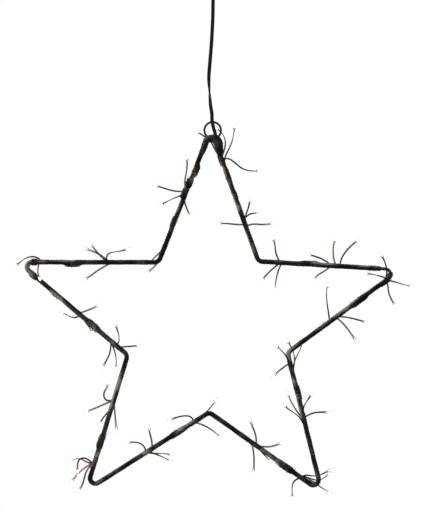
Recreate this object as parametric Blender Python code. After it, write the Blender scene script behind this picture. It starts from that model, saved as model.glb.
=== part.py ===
"""A lit five-pointed star of bent rod, hung by its own flat twin lead.

The star stands in the XZ plane and faces -Y. The origin is at the top of the lead's hanging loop.
A place on the star's outline is a way: the distance from the top corner, clockwise as seen from the front,
as if the corners were sharp and the sides all of one length.
"""

import math

import bmesh
import bpy
import numpy as np
from mathutils import Vector
from mathutils.geometry import interpolate_bezier

# Star outline, on the rod's centre-line with sharp corners
STAR_TIP_RADIUS = 0.218
STAR_VALLEY_RADIUS = 0.0908
POINTS = 5
ROD_DIAMETER = 0.0036
TIP_BEND_RADIUS = 0.0055
VALLEY_BEND_RADIUS = 0.007

# Hanging, from the ring at the top point up to the hook
RING_OUTER_DIAMETER = 0.0205
RING_WIRE = 0.0024
RING_SIDE = 0.0019
LEAD_WIDTH = 0.004
LEAD_THICKNESS = 0.002
LEAD_EXIT_SIDE = 0.001
LEAD_EXIT_OVER_RING = 0.0017
FREE_LEAD = 0.1383
KNOT_RADIUS = 0.0055
KNOT_TURNS = 3
LOOP_WIDTH = 0.015
LOOP_HEIGHT = 0.0275

# The lead's taped end
TAIL_ON_SIDE = 0.0057
TAIL_OUT = 0.0012
TAIL_FRONT = 0.0036
JOINT_SLEEVE_LENGTH = 0.009
JOINT_SLEEVE_RADIUS = 0.0015
BINDING_WALL = 0.0011

# Light string and tape
TRUNK_DIAMETER = 0.0012
TAPE_THICKNESS = 0.00035
SPLICE_WALL = 0.0009
SPLICE_LENGTH = 0.012
TWIG_WIRE = 0.0015
DROP_DIAMETER = 0.0034
DROP_LENGTH = 0.0075
TWIG_LENGTH = 0.034
WINDING_TURNS = 4
WINDING_PITCH = 0.0016
WINDING_WIRE = 0.0011
CLEAR = 0.0003

UP = Vector((0, 0, 1))
BACK = Vector((0, 1, 0))
ROD_RADIUS = ROD_DIAMETER / 2
TRUNK_RADIUS = TRUNK_DIAMETER / 2
TRUNK_DEPTH = ROD_RADIUS + CLEAR + TRUNK_RADIUS
RING_DEPTH = ROD_RADIUS + CLEAR + RING_WIRE / 2
RING_REACH = (RING_OUTER_DIAMETER - RING_WIRE) / 2

# Heights over the star's centre. The ring's foot lies behind the top bend.
HALF_TIP_ANGLE = math.atan2(
    STAR_VALLEY_RADIUS * math.sin(math.pi / POINTS),
    STAR_TIP_RADIUS - STAR_VALLEY_RADIUS * math.cos(math.pi / POINTS),
)
APEX_HEIGHT = STAR_TIP_RADIUS - TIP_BEND_RADIUS * (1 / math.sin(HALF_TIP_ANGLE) - 1)
RING_HEIGHT = APEX_HEIGHT + RING_REACH
LEAD_EXIT_HEIGHT = RING_HEIGHT + RING_OUTER_DIAMETER / 2 + LEAD_EXIT_OVER_RING
KNOT_HEIGHT = LEAD_EXIT_HEIGHT + FREE_LEAD + CLEAR + KNOT_RADIUS
HOOK_HEIGHT = KNOT_HEIGHT + KNOT_RADIUS + CLEAR + LOOP_HEIGHT - LEAD_WIDTH / 2
CENTRE = Vector((0, 0, -HOOK_HEIGHT))

for old in list(bpy.data.objects):
    bpy.data.objects.remove(old)


def material(name, colour, roughness, metallic=0.0):
    made = bpy.data.materials.new(name)
    made.use_nodes = True
    shader = made.node_tree.nodes["Principled BSDF"]
    shader.inputs["Base Color"].default_value = (*colour, 1)
    shader.inputs["Roughness"].default_value = roughness
    shader.inputs["Metallic"].default_value = metallic
    return made


BLACK_PAINT = material("black_paint", (0.02, 0.02, 0.02), 0.45, 0.3)
CLOTH_TAPE = material("cloth_tape", (0.035, 0.035, 0.03), 0.8)
LACQUERED_WIRE = material("lacquered_wire", (0.12, 0.04, 0.035), 0.4, 0.2)
CABLE_SHEATH = material("cable_sheath", (0.015, 0.015, 0.015), 0.5)
SHRINK_SLEEVE = material("shrink_sleeve", (0.01, 0.01, 0.01), 0.6)


def add_mesh(name, mesh, finish):
    """Closes a bmesh into an object with its faces outward and its round sides smooth."""
    bmesh.ops.recalc_face_normals(mesh, faces=mesh.faces)
    data = bpy.data.meshes.new(name)
    mesh.to_mesh(data)
    mesh.free()
    data.materials.append(finish)
    data.shade_smooth()
    data.set_sharp_from_angle(angle=math.radians(50))
    made = bpy.data.objects.new(name, data)
    bpy.context.scene.collection.objects.link(made)
    return made


def cut_away(target, cutter):
    """Subtracts a hidden helper from target."""
    cutter.hide_render = True
    cutter.display_type = "WIRE"
    change = target.modifiers.new(cutter.name, "BOOLEAN")
    change.operation = "DIFFERENCE"
    change.solver = "EXACT"
    change.object = cutter


# The star's outline. The rod is bent by hand, so each corner lies a little off its regular place, to the
# side and upward. They are counted clockwise from the top.
HAND_BENT = (
    (0, 0), (0.0007, 0.0011), (0.0008, 0.0005), (0.0006, 0.0036), (-0.0012, 0.0011),
    (0.0034, 0.0005), (-0.0012, -0.0014), (-0.0003, -0.0021), (0, 0.002), (-0.0013, -0.0018),
)
CORNERS = POINTS + POINTS


def corner(number):
    angle = math.radians(90) - number * math.pi / POINTS
    reach = STAR_VALLEY_RADIUS if number % 2 else STAR_TIP_RADIUS
    side, height = HAND_BENT[number % CORNERS]
    return CENTRE + Vector((reach * math.cos(angle) + side, 0, reach * math.sin(angle) + height))


SIDE = (corner(1) - corner(0)).length


def along(number):
    return (corner(number + 1) - corner(number)).normalized()


def left_of(direction):
    return Vector((-direction.z, 0, direction.x))


def turn_at(number):
    """The signed angle that the outline turns by at a corner, positive to the left."""
    before, after = along(number - 1), along(number)
    return math.atan2(before.x * after.z - before.z * after.x, before.dot(after))


def bend_radius(number):
    return VALLEY_BEND_RADIUS if number % 2 else TIP_BEND_RADIUS


def bend_reach(number):
    """How far along the side the bend at a corner begins."""
    return bend_radius(number) * math.tan(abs(turn_at(number)) / 2)


def straight_frame(way):
    """(point, outward direction) at a way on a straight side, the run between its bends evenly stretched."""
    number = math.floor(way / SIDE)
    direction = along(number)
    first, last = bend_reach(number), bend_reach(number + 1)
    run = (corner(number + 1) - corner(number)).length - first - last
    place = first + (way - number * SIDE - first) * run / (SIDE - first - last)
    return corner(number) + direction * place, left_of(direction)


def frame_at(way):
    """(point, outward direction) at any way, round the bends too."""
    number = round(way / SIDE)
    past, reach = way - number * SIDE, bend_reach(number)
    if abs(past) >= reach:
        return straight_frame(way)
    turn = turn_at(number)
    start, outward = straight_frame(number * SIDE - reach)
    middle = start + outward * math.copysign(bend_radius(number), turn)
    angle = turn * (past / reach + 1) / 2
    arm, spun = [
        Vector((v.x * math.cos(angle) - v.z * math.sin(angle), 0, v.x * math.sin(angle) + v.z * math.cos(angle)))
        for v in (start - middle, outward)
    ]
    return middle + arm, spun


def bend_frames(number, steps):
    """(way, point, outward direction) round one bend, both ends included."""
    ways = [number * SIDE + bend_reach(number) * (2 * step / steps - 1) for step in range(steps + 1)]
    return [(way, *frame_at(way)) for way in ways]


def bend_steps(number):
    return 3 if number % 2 else 6


def frames_between(start, end, stops=()):
    """Cross-section frames from one way to another, closer together round the bends."""
    found = [(way, *frame_at(way)) for way in (start, *stops, end)]
    for number in range(math.ceil(start / SIDE), math.floor(end / SIDE) + 1):
        found += [frame for frame in bend_frames(number, bend_steps(number)) if start < frame[0] < end]
    return sorted(found, key=lambda frame: frame[0])


# Cross-sections, as (outward, back) pairs
def circle(radius, sides=12):
    turns = [2 * math.pi * k / sides for k in range(sides)]
    return [(radius * math.cos(angle), radius * math.sin(angle)) for angle in turns]


def around_rod_and_trunk(margin, sides_of_rod=6, sides_of_trunk=2):
    """The outline that wraps rod and trunk together, at least margin away from both."""
    slope = math.asin((ROD_RADIUS - TRUNK_RADIUS) / TRUNK_DEPTH)
    found = []
    for radius, depth, first, last, sides in (
        (ROD_RADIUS + margin, 0, -slope, math.pi + slope, sides_of_rod),
        (TRUNK_RADIUS + margin, -TRUNK_DEPTH, math.pi + slope, 2 * math.pi - slope, sides_of_trunk),
    ):
        step = (last - first) / sides
        corner_radius = radius / math.cos(step / 2)
        for k in range(sides + 1):
            angle = first + step * k
            found.append((corner_radius * math.cos(angle), depth + corner_radius * math.sin(angle)))
    return found


def ring_of(mesh, frame, section):
    _, point, outward = frame
    return [mesh.verts.new(point + outward * out + BACK * back) for out, back in section]


def skin(mesh, first, second):
    """Quads between two rings of as many points."""
    count = len(first)
    for k in range(count):
        after = (k + 1) % count
        mesh.faces.new((first[k], first[after], second[after], second[k]))


def sleeve(name, frames, outer_sections, bore, finish):
    """A wall round the rod: outer sections, one for each frame, and a bore of one section."""
    mesh = bmesh.new()
    outer = [ring_of(mesh, frame, section) for frame, section in zip(frames, outer_sections)]
    inner = [ring_of(mesh, frame, bore) for frame in frames_between(frames[0][0], frames[-1][0])]
    for first, second in (*zip(outer, outer[1:]), *zip(inner, inner[1:])):
        skin(mesh, first, second)
    skin(mesh, inner[0], outer[0])
    skin(mesh, outer[-1], inner[-1])
    return add_mesh(name, mesh, finish)


def sweep(name, points, section_at, finish, side_hint=None):
    """A closed bar along points. section_at(k) is its section, square to the path, as (side, up) pairs."""
    mesh = bmesh.new()
    rings = []
    side = side_hint or Vector((0, 1, 0))
    for k, point in enumerate(points):
        ahead = (points[min(k + 1, len(points) - 1)] - points[max(k - 1, 0)]).normalized()
        side = (side - ahead * side.dot(ahead)).normalized()
        over = ahead.cross(side)
        rings.append([mesh.verts.new(point + side * a + over * b) for a, b in section_at(k)])
    for first, second in zip(rings, rings[1:]):
        skin(mesh, first, second)
    mesh.faces.new(rings[0])
    mesh.faces.new(rings[-1])
    return add_mesh(name, mesh, finish)


def smooth_route(points, spacing):
    """Evenly spaced points on a smooth curve through the given ones."""
    fine = []
    for k in range(len(points) - 1):
        a, b = points[k], points[k + 1]
        before, after = points[max(k - 1, 0)], points[min(k + 2, len(points) - 1)]
        fine += interpolate_bezier(a, a + (b - before) / 6, b - (after - a) / 6, b, 24)[:-1]
    fine.append(points[-1])
    lengths = [0.0]
    for a, b in zip(fine, fine[1:]):
        lengths.append(lengths[-1] + (b - a).length)
    count = max(2, round(lengths[-1] / spacing))
    spots = np.linspace(0, lengths[-1], count + 1)
    columns = [np.interp(spots, lengths, [point[axis] for point in fine]) for axis in range(3)]
    return [Vector(spot) for spot in zip(*columns)]


def cable(name, points, diameter, finish, roundness=2):
    """A round cable: a poly curve with a bevel and filled caps."""
    data = bpy.data.curves.new(name, "CURVE")
    data.dimensions = "3D"
    data.bevel_depth = diameter / 2
    data.bevel_resolution = roundness
    data.use_fill_caps = True
    spline = data.splines.new("POLY")
    spline.points.add(len(points) - 1)
    for spot, point in zip(spline.points, points):
        spot.co = (*point, 1)
    data.materials.append(finish)
    made = bpy.data.objects.new(name, data)
    bpy.context.scene.collection.objects.link(made)
    return made


# The frame: one rod, bent at ten places, its ends butt-welded
def make_star_frame():
    mesh = bmesh.new()
    frames = []
    for number in range(CORNERS):
        frames += bend_frames(number, bend_steps(number))
    rings = [ring_of(mesh, frame, circle(ROD_RADIUS, 8)) for frame in frames]
    for first, second in zip(rings, rings[1:] + rings[:1]):
        skin(mesh, first, second)
    return add_mesh("star_frame", mesh, BLACK_PAINT)


def ring_torus(name, wire_radius, finish):
    mesh = bmesh.new()
    middle = CENTRE + Vector((RING_SIDE, RING_DEPTH, RING_HEIGHT))
    steps = 26
    rings = []
    for k in range(steps):
        angle = 2 * math.pi * k / steps
        outward = Vector((math.cos(angle), 0, math.sin(angle)))
        rings.append(ring_of(mesh, (0, middle + outward * RING_REACH, outward), circle(wire_radius, 8)))
    for first, second in zip(rings, rings[1:] + rings[:1]):
        skin(mesh, first, second)
    return add_mesh(name, mesh, finish)


# Light clusters, clockwise from the top. Each has its side of the star, the share of the free room on that
# side at which its splice sits, and its twigs. A twig has the place of its root on the splice (-1 and 1 are
# the ends), its headings from root to tip (degrees, counter-clockwise from +X as seen from the front), the
# length that shows from the front as a share of TWIG_LENGTH, and the side and strength of its lean.
# The first splice has no share, because it follows the lead's own splice.
FRONT, REAR = 1, -1
LEAST_LEAN_DEGREES = 16
WOUND_CLUSTER = 17
LED_CLUSTERS = (
    (0, None, ((-0.75, (72, 75, 94, 122, 140), 1.13, REAR), (0.4, (86, 64, 66, 80, 84), 1.28, FRONT),
                (-0.1, (14, -38, -40, -12, 3), 1.37, FRONT),
                (-0.33, (124, 120, 118, 146, 146), 1.32, REAR * 1.5))),
    (0, 0.717, ((-0.65, (70, 72, 82), 0.69, FRONT), (-0.5, (64, 40, 10, 14), 0.64, REAR),
                (0.75, (24, 4, -5, 4, 6), 0.95, FRONT), (0.35, (180, 176, 180), 0.9, FRONT))),
    (1, 0.108, ((-0.18, (124, 110, 94, 112), 0.87, FRONT), (-0.2, (212, 224, 228), 0.86, FRONT),
                (0.15, (246, 258, 266), 0.92, REAR))),
    (1, 0.598, ((-0.95, (138, 150, 162, 162), 0.83, REAR), (0.0, (112, 100, 90, 76), 0.93, FRONT),
                (0.9, (88, 60, 48, 40), 1.1, FRONT), (-0.95, (220, 208, 224), 0.77, FRONT))),
    (2, 0.0, ((-0.75, (76, 92, 106, 118), 0.87, REAR * 1.5), (-0.6, (160, 168, 173), 0.8, FRONT),
                (-0.7, (-8, -14, -17, -6), 0.91, REAR), (-0.3, (-66, -88, -66, -60), 0.93, FRONT))),
    (2, 0.561, ((0.8, (99, 101, 96, 86), 1.23, FRONT), (-0.95, (-2, -8, -14, -15), 0.97, FRONT),
                (-0.4, (-32, -48, -54, -57), 1.06, FRONT))),
    (3, 0.03, ((-0.8, (112, 130, 140), 0.77, FRONT), (0.8, (76, 86, 100, 116, 122), 1.12, FRONT),
                (0.95, (82, 80, 62, 62, 90), 1.11, REAR), (-0.35, (220, 222, 232), 0.72, REAR))),
    (3, 0.506, ((-0.3, (130, 126, 120, 110), 0.95, REAR), (0.85, (116, 128, 144, 148, 140), 0.99, FRONT),
                (-0.95, (92, 84, 62, 61, 61), 0.81, FRONT), (-0.15, (38, 24, 6, 0), 0.9, FRONT))),
    (4, 0.038, ((0.2, (24, -8, 8, 32, 26), 1.07, FRONT), (0.0, (-10, -20, -14, 30, 34), 1.04, REAR),
                (0.5, (192, 216, 256, 270, 276), 0.81, FRONT),
                (-0.7, (-14, -26, -40, -34, -30), 1.0, REAR * 1.5))),
    (4, 0.57, ((0.05, (88, 104, 114, 108), 0.94, FRONT), (-0.95, (2, 4, 22, 28), 0.8, FRONT),
                (0.55, (-74, -82, -90, -94), 1.0, FRONT), (-0.6, (-54, -50, -46), 0.75, REAR))),
    (5, 0.064, ((-0.95, (32, 44, 50, 50), 0.87, REAR), (0.0, (-8, -22, -32, -42), 1.02, FRONT),
                (0.1, (112, 176, 193, 200), 0.93, FRONT))),
    (5, 0.54, ((0.3, (96, 134, 170, 180), 0.81, FRONT), (-0.95, (86, 104, 112, 96), 0.67, REAR),
                (0.1, (-8, 4, 2, -4), 0.87, FRONT), (-0.1, (-22, -24, -26, -30), 0.84, REAR))),
    (6, 0.07, ((0.1, (136, 146, 190, 262, 272), 0.98, FRONT), (0.0, (180, 166, 152, 184, 206), 0.84, REAR),
                (0.1, (208, 214, 226, 234), 1.0, FRONT), (-0.1, (220, 238, 256, 254, 240), 1.12, REAR))),
    (6, 0.639, ((0.3, (203, 204, 202), 0.97, FRONT), (0.5, (206, 176, 120, 86, 52, 78), 0.9, REAR),
                (-0.1, (-84, -83, -82), 0.95, FRONT), (-0.95, (238, 232, 232, 246), 0.76, REAR))),
    (7, 0.05, ((-0.1, (52, 84, 102, 108, 102), 0.83, FRONT), (-0.8, (3, 3), 0.65, REAR),
                (0.85, (270, 262, 242, 246), 0.92, FRONT), (0.75, (-66, -72, -84, -96), 0.95, REAR))),
    (7, 0.462, ((0.2, (16, 22, 30), 0.78, FRONT), (0.0, (224, 180, 160, 156), 0.71, REAR),
                (-0.75, (-50, -51), 0.66, FRONT))),
    (8, 0.052, ((-0.58, (128, 168, 198, 218, 224), 1.01, FRONT), (-0.8, (262, 276, 304), 0.57, FRONT))),
    (8, 0.632, ((0.0, (143, 146, 158, 160), 0.96, FRONT), (-0.4, (142, 134, 130), 0.85, REAR),
                (-0.2, (108, 62, 14, 8, 12, 16), 1.0, FRONT), (0.3, (207, 212, 218, 214), 1.05, FRONT))),
    (9, 0.03, ((0.95, (244, 232, 220, 240), 0.93, REAR), (0.6, (256, 242, 232, 218), 1.15, REAR))),
    (9, 0.559, ((0.85, (108, 86, 78, 86, 94), 1.1, FRONT), (0.35, (190, 172, 163, 162), 1.08, REAR),
                (-0.35, (200, 206, 211), 0.9, FRONT), (-0.95, (-86, -68, -66), 0.68, FRONT))),
)
# Splices that carry more tape, at the top and the right point: the wall added to them and their lean outward
THICK_SPLICES = {1: (0.0006, -0.0007), 5: (0.0004, 0.0006), 20: (0.0009, 0.0011)}


def tail_way():
    """The way at which the lead's end lies on the first side."""
    return bend_reach(0) + TAIL_ON_SIDE


def cluster_way(side, share):
    """The way of a splice that stays on the straight run between two bends."""
    if share is None:
        return tail_way() + JOINT_SLEEVE_LENGTH + SPLICE_LENGTH / 2 + CLEAR + CLEAR
    first = bend_reach(side) + SPLICE_LENGTH / 2
    last = SIDE - bend_reach(side + 1) - SPLICE_LENGTH / 2
    return side * SIDE + first + share * (last - first)


def reach_of(section, angle):
    """How far a section's outline lies from its origin, in one direction."""
    ray = Vector((math.cos(angle), math.sin(angle)))
    for a, b in zip(section, section[1:] + section[:1]):
        edge = Vector((b[0] - a[0], b[1] - a[1]))
        cross = ray.x * edge.y - ray.y * edge.x
        if abs(cross) < 1e-12:
            continue
        share = (a[1] * ray.x - a[0] * ray.y) / -cross
        distance = (a[0] * edge.y - a[1] * edge.x) / cross
        if -1e-9 <= share <= 1 + 1e-9 and distance > 0:
            return distance
    return 0.0


def heading_at(headings, share):
    """The heading at a share of the twig, evenly bent between the given ones."""
    return np.interp(share, np.linspace(0, 1, len(headings)), headings)


def twig_points(way, root, headings, seen, lean, bore, outer):
    """The centre-line of one wire pair, from inside the splice's wall to the drop."""
    flat = min(seen, math.cos(math.radians(LEAST_LEAN_DEGREES * abs(lean))))
    length = TWIG_LENGTH * seen / flat
    depth = -math.copysign(math.sqrt(1 - flat * flat), lean)
    middle, outward = straight_frame(way + root * SPLICE_LENGTH / 2)
    steps = 5

    def direction(share):
        angle = math.radians(heading_at(headings, share))
        return Vector((math.cos(angle) * flat, depth, math.sin(angle) * flat))

    first = direction(0)
    angle = math.atan2(first.dot(BACK), first.dot(outward))
    near, far = reach_of(bore, angle), reach_of(outer, angle)
    point = middle + (outward * math.cos(angle) + BACK * math.sin(angle)) * (near + 0.6 * (far - near))
    points = [point]
    for k in range(steps):
        point = point + direction((k + 0.5) / steps) * (length - DROP_LENGTH) / steps
        points.append(point)
    tip = direction(1)
    points += [points[steps] + tip * DROP_LENGTH * share for share in (0.45, 1.0)]
    return points, steps


def make_twig(name, points, steps):
    wire, drop = TWIG_WIRE / 2, DROP_DIAMETER / 2
    radii = [wire] * (steps + 1) + [drop, drop * 0.55]
    return sweep(name, points, lambda k: circle(radii[k], 5), LACQUERED_WIRE)


def make_cluster(number, way, twigs):
    """A taped splice round the rod and the trunk, with its twigs growing from the wall."""
    added, shift = THICK_SPLICES.get(number, (0.0, 0.0))
    bore = around_rod_and_trunk(CLEAR)
    ends, belly = (
        [(out + shift * share, back) for out, back in around_rod_and_trunk(CLEAR + (SPLICE_WALL + added) * share)]
        for share in (0.6, 1.0)
    )
    half = SPLICE_LENGTH / 2
    frames = [(way + shift, *straight_frame(way + shift)) for shift in (-half, -half * 0.6, half * 0.6, half)]
    name = f"light_cluster_{number:02d}"
    made = sleeve(name, frames, (ends, belly, belly, ends), bore, LACQUERED_WIRE)
    for k, (root, headings, seen, lean) in enumerate(twigs):
        points, steps = twig_points(way, root, headings, seen, lean, bore, belly)
        twig = make_twig(f"{name}_twig_{k + 1}", points, steps)
        twig.hide_render = True
        twig.display_type = "WIRE"
        join = made.modifiers.new(twig.name, "BOOLEAN")
        join.operation = "UNION"
        join.solver = "EXACT"
        join.object = twig
    return made


# Where the tape is thicker, over the string's own joints: the side of the star, the place on it as a share,
# half the length as a share of a splice, and the added radius and the lean outward as shares of the rod's
LUMPS = (
    (0, 0.350, 0.8, 0.22, 0.0), (0, 0.500, 0.5, 0.20, 0.11), (1, 0.365, 1.1, 0.39, 0.42),
    (1, 0.810, 0.5, 0.15, 0.0), (2, 0.048, 0.45, 0.35, -0.30), (2, 0.365, 1.15, 0.60, 0.28),
    (2, 0.690, 0.9, 0.17, -0.28), (3, 0.290, 0.9, 0.39, 0.33), (4, 0.320, 1.15, 0.75, 0.22),
    (4, 0.660, 0.6, 0.22, -0.28), (5, 0.255, 1.0, 0.50, 0.0), (6, 0.360, 0.85, 0.80, 0.28),
    (7, 0.320, 0.85, 0.80, 0.0), (7, 0.655, 0.6, 0.17, 0.17), (7, 0.859, 0.5, 0.50, 0.28),
    (8, 0.385, 1.0, 0.72, -0.83), (9, 0.300, 0.7, 0.28, 0.33), (9, 0.595, 0.5, 0.80, 0.3),
    (9, 0.690, 0.75, 0.56, -0.67), (9, 0.850, 0.6, 0.22, -0.11),
)


# At the right point the tape stops on one side and begins again in the bend, with the rod bare between them
BARE_FROM = 1.865 * SIDE
BARE_TO = 2 * SIDE
BARE_AFTER_CLUSTER = 4


def lumps_between(start, end):
    """(way, half length, added radius, lean outward) of the lumps that lie wholly on one stretch."""
    found = []
    for side, share, half, growth, shift in LUMPS:
        way, reach = (side + share) * SIDE, half * SPLICE_LENGTH
        if start + reach < way < end - reach:
            found.append((way, reach, growth * ROD_RADIUS, shift * ROD_RADIUS))
    return found


def lump_stops(lumps):
    return [way + side * half for way, half, _, _ in lumps for side in (-1, -0.4, 0.4, 1)]


def swelling(way, lumps):
    """(added radius, lean outward) of the tape at a way."""
    swell, lean = 0.0, 0.0
    for middle, half, growth, shift in lumps:
        share = max(0.0, 1 - abs(way - middle) / half)
        share = min(1.0, share / 0.6)
        swell += growth * share
        lean += shift * share
    return swell, lean


def make_wrap(number, start, end):
    """One length of cloth tape, from splice to splice."""
    lumps = lumps_between(start, end)
    frames = frames_between(start, end, lump_stops(lumps))
    sections = []
    for way, _, _ in frames:
        swell, lean = swelling(way, lumps)
        outline = around_rod_and_trunk(CLEAR + TAPE_THICKNESS + swell)
        sections.append([(out + lean, back) for out, back in outline])
    return sleeve(f"tape_wrap_{number:02d}", frames, sections, around_rod_and_trunk(CLEAR), CLOTH_TAPE)


def make_winding(end):
    """The string's spare wire, wound in open turns over the tape beside a splice, as one unbroken wire."""
    outline = around_rod_and_trunk(CLEAR + TAPE_THICKNESS + CLEAR + WINDING_WIRE / 2, 24, 12)
    per_turn = 24
    start = end - CLEAR - WINDING_WIRE - WINDING_PITCH * WINDING_TURNS
    points = []
    for k in range(WINDING_TURNS * per_turn + 1):
        angle = 2 * math.pi * k / per_turn
        point, outward = straight_frame(start + WINDING_WIRE / 2 + WINDING_PITCH * k / per_turn)
        points.append(point + (outward * math.cos(angle) + BACK * math.sin(angle)) * reach_of(outline, angle))
    gaps = [
        (b - a).length - WINDING_WIRE
        for k, a in enumerate(points) for b in points[k + per_turn // 2:]
    ]
    print(f"wire_winding: least gap to itself {min(gaps) * 1000:.2f} mm")
    cable("wire_winding", points, WINDING_WIRE, LACQUERED_WIRE, 1)


def make_trunk(start, end):
    """The feed pair that runs along the front of the rod under the tape."""
    mesh = bmesh.new()
    frames = frames_between(start, end)
    section = [(out, back - TRUNK_DEPTH) for out, back in circle(TRUNK_RADIUS, 5)]
    rings = [ring_of(mesh, frame, section) for frame in frames]
    for first, second in zip(rings, rings[1:]):
        skin(mesh, first, second)
    mesh.faces.new(rings[0])
    mesh.faces.new(rings[-1])
    return add_mesh("string_trunk", mesh, LACQUERED_WIRE)


# The lead's free stretch, as (side in lead widths, share of the height from the exit to the knot)
LEAD_ROUTE = (
    (0.25, 0.0), (0.15, 0.05), (-0.22, 0.112), (-0.52, 0.199), (-0.77, 0.293), (-0.8, 0.343), (-0.67, 0.408),
    (-0.45, 0.502), (-0.25, 0.596), (-0.1, 0.697), (0.0, 0.806), (0.0, 0.921), (0.0, 1.0),
)
# Its taped end, as shares of the way sideways, to the front and down from the exit to the splice
TAIL_ROUTE = (
    (0.0, 0.0, 0.0), (0.05, 0.02, 0.13), (0.27, 0.33, 0.34), (0.48, 0.75, 0.51), (0.63, 0.94, 0.69),
    (0.78, 1.0, 0.84), (1.0, 1.0, 1.0),
)


def over_centre(side, depth, height):
    return CENTRE + Vector((side, depth, height))


def flat_section(margin=0.0):
    """The twin lead's section, broad across and thin from front to back."""
    half, thin = LEAD_WIDTH / 2 + margin, LEAD_THICKNESS / 2 + margin
    return [
        (thin, half * 0.55), (thin * 0.45, half), (-thin * 0.45, half), (-thin, half * 0.55),
        (-thin, -half * 0.55), (-thin * 0.45, -half), (thin * 0.45, -half), (thin, -half * 0.55),
    ]


def tail_points(extra=0.0):
    top = over_centre(LEAD_EXIT_SIDE, 0, LEAD_EXIT_HEIGHT - CLEAR - CLEAR)
    point, outward = straight_frame(tail_way())
    whole = point + outward * TAIL_OUT - BACK * TAIL_FRONT - top
    spots = [top + Vector((whole.x * a, whole.y * b, whole.z * c)) for a, b, c in TAIL_ROUTE]
    points = smooth_route(spots, LEAD_WIDTH * 0.6)
    direction = (points[-1] - points[-2]).normalized()
    return points + [points[-1] + direction * extra] if extra else points


def make_apex():
    """The lead's taped end and its splice."""
    tail = tail_points()
    sweep("lead_tail", tail, lambda k: flat_section(), CABLE_SHEATH)
    start = tail[-1] + along(0) * CLEAR
    shares = ((0.0, 0.75), (0.15, 1.0), (0.85, 1.0), (1.0, 0.6))
    spots = [start + along(0) * JOINT_SLEEVE_LENGTH * place for place, _ in shares]
    sweep("lead_splice", spots, lambda k: circle(JOINT_SLEEVE_RADIUS * shares[k][1], 8), SHRINK_SLEEVE)


def make_lead():
    exit_point = over_centre(0, 0, LEAD_EXIT_HEIGHT)
    spots = [exit_point + Vector((side * LEAD_WIDTH, 0, share * FREE_LEAD)) for side, share in LEAD_ROUTE]
    cable("hanging_lead", smooth_route(spots, 2.5 * LEAD_WIDTH), LEAD_WIDTH, CABLE_SHEATH)


def make_knot():
    """A barrel knot, its turns as rounded ribs, with a ball-shaped underside that the lead swings below."""
    mesh = bmesh.new()
    middle = CENTRE + UP * KNOT_HEIGHT
    rings = []
    steps = 18
    for k in range(steps + 1):
        share = k / steps
        height = KNOT_RADIUS * (2 * share - 1)
        ball = math.sqrt(max(KNOT_RADIUS**2 - height**2, (0.22 * KNOT_RADIUS)**2))
        rib = abs(math.sin(math.pi * KNOT_TURNS * share))
        radius = min(ball, KNOT_RADIUS * (0.67 + 0.18 * rib))
        rings.append([mesh.verts.new(middle + Vector((x, y, height))) for x, y in circle(radius, 12)])
    for first, second in zip(rings, rings[1:]):
        skin(mesh, first, second)
    mesh.faces.new(rings[0])
    mesh.faces.new(rings[-1])
    add_mesh("lead_knot", mesh, CABLE_SHEATH)


def make_loop():
    """The loop over the knot, its inner top at the origin."""
    top = LEAD_WIDTH / 2
    foot = KNOT_HEIGHT - HOOK_HEIGHT + KNOT_RADIUS + CLEAR
    half = LOOP_WIDTH / 2
    leg = LEAD_WIDTH / 2 + CLEAR
    round_middle = top - half
    points = [Vector((-leg, 0, foot)), Vector((-leg, 0, foot + 0.2 * LOOP_WIDTH))]
    points += [Vector((-half * 0.8, 0, (foot + round_middle) / 2))]
    for k in range(7):
        angle = math.pi - math.pi * k / 6
        points.append(Vector((half * math.cos(angle), 0, round_middle + half * math.sin(angle))))
    points += [Vector((-spot.x, 0, spot.z)) for spot in reversed(points[:3])]
    cable("lead_loop", smooth_route(points, LEAD_WIDTH), LEAD_WIDTH, CABLE_SHEATH)


# The binding's shape over the top bend: the distance past the corner in reaches of that bend, and how far the
# tape stands outward, inward, to the front and to the rear, in binding walls over the bore
BINDING_SHAPE = (
    (-2.4, (0.4, 0.4, 1.45, 0.4)), (-1.9, (0.5, 0.5, 1.4, 0.5)), (-1.45, (0.75, 0.75, 1.5, 0.8)),
    (-1.0, (1.2, 1.2, 2.8, 2.9)), (0.0, (1.45, 2.4, 3.2, 2.9)), (0.5, (2.6, 2.0, 4.2, 2.9)),
    (1.0, (3.4, 1.1, 4.2, 2.9)), (1.3, (3.5, 0.7, 4.4, 0.8)), (1.6, (2.4, 0.8, 4.5, 0.7)),
    (1.9, (1.8, 1.0, 4.6, 0.64)),
)


def binding_section(past, swell, lean):
    """The tape's oval of twelve points at a distance past the top corner."""
    stations = [station for station, _ in BINDING_SHAPE]
    outer, inner, front, rear = (
        ROD_RADIUS + CLEAR + swell + BINDING_WALL * np.interp(past, stations, walls)
        for walls in zip(*(shape for _, shape in BINDING_SHAPE))
    )
    return [
        ((outer - inner) / 2 + lean + (outer + inner) / 2 * x, (rear - front) / 2 + (rear + front) / 2 * y)
        for x, y in circle(1.0)
    ]


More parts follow.
